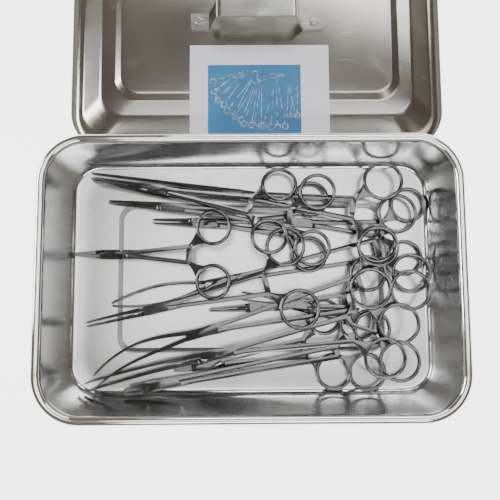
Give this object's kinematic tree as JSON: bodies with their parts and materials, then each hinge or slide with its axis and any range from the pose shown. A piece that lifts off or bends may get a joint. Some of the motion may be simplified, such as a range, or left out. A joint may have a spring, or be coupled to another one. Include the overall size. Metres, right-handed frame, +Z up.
{
  "type": "instrument tray",
  "caption": "Deep rectangular stainless steel instrument tray with a rolled rim, its lid with a strap handle, and ring-handled surgical instruments lying in the pan.",
  "frame": {"origin": "middle of the tray's base, on the surface that it stands on", "axes": "+Z up, +X along the long side of the tray towards the finger rings, +Y towards the lid"},
  "size_m": [0.325, 0.427, 0.05],
  "materials": {
    "tray_steel": "satin base, half-polished walls, bright rolled rim",
    "lid_steel": "brushed along the length",
    "handle_steel": "satin",
    "instrument_steel": "satin, with polished edges",
    "pin_steel": "satin",
    "card_print": "printed card, semi-gloss"
  },
  "bodies": {
    "tray": {"tray_pan": "tray_steel"},
    "lid": {"lid": "lid_steel", "lid_handle": "handle_steel", "lid_handle_rivets": "handle_steel", "card": "card_print"},
    "artery_forceps_1": {"artery_forceps_1_box_half": "instrument_steel", "artery_forceps_1_pivot_pin": "pin_steel"},
    "artery_forceps_1_blade": {"artery_forceps_1_blade_half": "instrument_steel"},
    "artery_forceps_2": {"artery_forceps_2_box_half": "instrument_steel", "artery_forceps_2_pivot_pin": "pin_steel"},
    "artery_forceps_2_blade": {"artery_forceps_2_blade_half": "instrument_steel"},
    "tissue_forceps": {"tissue_forceps_box_half": "instrument_steel", "tissue_forceps_pivot_pin": "pin_steel"},
    "tissue_forceps_blade": {"tissue_forceps_blade_half": "instrument_steel"},
    "needle_holder": {"needle_holder_box_half": "instrument_steel", "needle_holder_pivot_pin": "pin_steel"},
    "needle_holder_blade": {"needle_holder_blade_half": "instrument_steel"},
    "artery_forceps_3": {"artery_forceps_3_box_half": "instrument_steel", "artery_forceps_3_pivot_pin": "pin_steel"},
    "artery_forceps_3_blade": {"artery_forceps_3_blade_half": "instrument_steel"},
    "artery_forceps_4": {"artery_forceps_4_box_half": "instrument_steel", "artery_forceps_4_pivot_pin": "pin_steel"},
    "artery_forceps_4_blade": {"artery_forceps_4_blade_half": "instrument_steel"},
    "long_forceps": {"long_forceps_box_half": "instrument_steel", "long_forceps_pivot_pin": "pin_steel"},
    "long_forceps_blade": {"long_forceps_blade_half": "instrument_steel"},
    "artery_forceps_5": {"artery_forceps_5_box_half": "instrument_steel", "artery_forceps_5_pivot_pin": "pin_steel"},
    "artery_forceps_5_blade": {"artery_forceps_5_blade_half": "instrument_steel"},
    "curved_clamp": {"curved_clamp_box_half": "instrument_steel", "curved_clamp_pivot_pin": "pin_steel"},
    "curved_clamp_blade": {"curved_clamp_blade_half": "instrument_steel"},
    "long_clamp": {"long_clamp_box_half": "instrument_steel", "long_clamp_pivot_pin": "pin_steel"},
    "long_clamp_blade": {"long_clamp_blade_half": "instrument_steel"},
    "artery_forceps_6": {"artery_forceps_6_box_half": "instrument_steel", "artery_forceps_6_pivot_pin": "pin_steel"},
    "artery_forceps_6_blade": {"artery_forceps_6_blade_half": "instrument_steel"},
    "artery_forceps_7": {"artery_forceps_7_box_half": "instrument_steel", "artery_forceps_7_pivot_pin": "pin_steel"},
    "artery_forceps_7_blade": {"artery_forceps_7_blade_half": "instrument_steel"},
    "artery_forceps_8": {"artery_forceps_8_box_half": "instrument_steel", "artery_forceps_8_pivot_pin": "pin_steel"},
    "artery_forceps_8_blade": {"artery_forceps_8_blade_half": "instrument_steel"},
    "mosquito_forceps": {"mosquito_forceps_box_half": "instrument_steel", "mosquito_forceps_pivot_pin": "pin_steel"},
    "mosquito_forceps_blade": {"mosquito_forceps_blade_half": "instrument_steel"}
  },
  "joints": [
    {"name": "lid_lift", "type": "slide", "parent": "tray", "child": "lid", "axis": [0, 0, 1], "range_m": [0, 0.12]},
    {"name": "artery_forceps_1_lift", "type": "slide", "parent": "tray", "child": "artery_forceps_1", "axis": [0, 0, 1], "range_m": [0, 0.06]},
    {"name": "artery_forceps_1_pivot", "type": "hinge", "parent": "artery_forceps_1", "child": "artery_forceps_1_blade", "pos_m": [0.0405, 0.045, 0.00389], "axis": [-0.0125, 0.0011, 0.9999], "range_deg": [0, 11]},
    {"name": "artery_forceps_2_lift", "type": "slide", "parent": "artery_forceps_1", "child": "artery_forceps_2", "axis": [0, 0, 1], "range_m": [0, 0.06]},
    {"name": "artery_forceps_2_pivot", "type": "hinge", "parent": "artery_forceps_2", "child": "artery_forceps_2_blade", "pos_m": [-0.0345, -0.0705, 0.0056], "axis": [0.0083, 0.0352, 0.9993], "range_deg": [0, 7]},
    {"name": "tissue_forceps_lift", "type": "slide", "parent": "artery_forceps_2", "child": "tissue_forceps", "axis": [0, 0, 1], "range_m": [0, 0.06]},
    {"name": "tissue_forceps_pivot", "type": "hinge", "parent": "tissue_forceps", "child": "tissue_forceps_blade", "pos_m": [-0.024, -0.0035, 0.00619], "axis": [0.018, 0.0037, -0.9998], "range_deg": [0, 11]},
    {"name": "needle_holder_lift", "type": "slide", "parent": "tissue_forceps", "child": "needle_holder", "axis": [0, 0, 1], "range_m": [0, 0.06]},
    {"name": "needle_holder_pivot", "type": "hinge", "parent": "needle_holder", "child": "needle_holder_blade", "pos_m": [-0.07, -0.085, 0.01134], "axis": [0.016, 0.0278, 0.9995], "range_deg": [0, 2]},
    {"name": "artery_forceps_3_lift", "type": "slide", "parent": "needle_holder", "child": "artery_forceps_3", "axis": [0, 0, 1], "range_m": [0, 0.06]},
    {"name": "artery_forceps_3_pivot", "type": "hinge", "parent": "artery_forceps_3", "child": "artery_forceps_3_blade", "pos_m": [0.009, -0.0245, 0.00636], "axis": [0.076, 0.004, -0.9971], "range_deg": [0, 9]},
    {"name": "artery_forceps_4_lift", "type": "slide", "parent": "artery_forceps_3", "child": "artery_forceps_4", "axis": [0, 0, 1], "range_m": [0, 0.06]},
    {"name": "artery_forceps_4_pivot", "type": "hinge", "parent": "artery_forceps_4", "child": "artery_forceps_4_blade", "pos_m": [-0.038, 0.045, 0.00535], "axis": [-0.0502, 0.0698, 0.9963], "range_deg": [-1.5, 8]},
    {"name": "long_forceps_lift", "type": "slide", "parent": "artery_forceps_4", "child": "long_forceps", "axis": [0, 0, 1], "range_m": [0, 0.06]},
    {"name": "long_forceps_pivot", "type": "hinge", "parent": "long_forceps", "child": "long_forceps_blade", "pos_m": [-0.0205, 0.0695, 0.0097], "axis": [0.0366, -0.0668, -0.9971], "range_deg": [-1.5, 1]},
    {"name": "artery_forceps_5_lift", "type": "slide", "parent": "long_forceps", "child": "artery_forceps_5", "axis": [0, 0, 1], "range_m": [0, 0.06]},
    {"name": "artery_forceps_5_pivot", "type": "hinge", "parent": "artery_forceps_5", "child": "artery_forceps_5_blade", "pos_m": [0.0345, -0.023, 0.01346], "axis": [-0.0549, 0.0102, 0.9984], "range_deg": [-6, 5]},
    {"name": "curved_clamp_lift", "type": "slide", "parent": "artery_forceps_5", "child": "curved_clamp", "axis": [0, 0, 1], "range_m": [0, 0.06]},
    {"name": "curved_clamp_pivot", "type": "hinge", "parent": "curved_clamp", "child": "curved_clamp_blade", "pos_m": [-0.0395, -0.044, 0.01233], "axis": [0.0681, 0.0477, -0.9965], "range_deg": [-4.5, 6]},
    {"name": "long_clamp_lift", "type": "slide", "parent": "curved_clamp", "child": "long_clamp", "axis": [0, 0, 1], "range_m": [0, 0.06]},
    {"name": "long_clamp_pivot", "type": "hinge", "parent": "long_clamp", "child": "long_clamp_blade", "pos_m": [-0.027, -0.061, 0.01632], "axis": [0.0662, 0.0543, -0.9963], "range_deg": [-2.5, 6]},
    {"name": "artery_forceps_6_lift", "type": "slide", "parent": "long_clamp", "child": "artery_forceps_6", "axis": [0, 0, 1], "range_m": [0, 0.06]},
    {"name": "artery_forceps_6_pivot", "type": "hinge", "parent": "artery_forceps_6", "child": "artery_forceps_6_blade", "pos_m": [-0.0635, 0.0575, 0.00884], "axis": [0.0828, 0.0353, -0.9959], "range_deg": [0, 12]},
    {"name": "artery_forceps_7_lift", "type": "slide", "parent": "artery_forceps_6", "child": "artery_forceps_7", "axis": [0, 0, 1], "range_m": [0, 0.06]},
    {"name": "artery_forceps_7_pivot", "type": "hinge", "parent": "artery_forceps_7", "child": "artery_forceps_7_blade", "pos_m": [-0.076, -0.025, 0.01161], "axis": [0.1166, -0.06, -0.9914], "range_deg": [-1.5, 6]},
    {"name": "artery_forceps_8_lift", "type": "slide", "parent": "artery_forceps_7", "child": "artery_forceps_8", "axis": [0, 0, 1], "range_m": [0, 0.06]},
    {"name": "artery_forceps_8_pivot", "type": "hinge", "parent": "artery_forceps_8", "child": "artery_forceps_8_blade", "pos_m": [-0.079, 0.0715, 0.01342], "axis": [-0.0153, 0.2654, 0.964], "range_deg": [-1, 1]},
    {"name": "mosquito_forceps_lift", "type": "slide", "parent": "artery_forceps_8", "child": "mosquito_forceps", "axis": [0, 0, 1], "range_m": [0, 0.06]},
    {"name": "mosquito_forceps_pivot", "type": "hinge", "parent": "mosquito_forceps", "child": "mosquito_forceps_blade", "pos_m": [-0.113, 0.019, 0.00962], "axis": [-0.1434, -0.0319, 0.9891], "range_deg": [0, 12]}
  ]
}
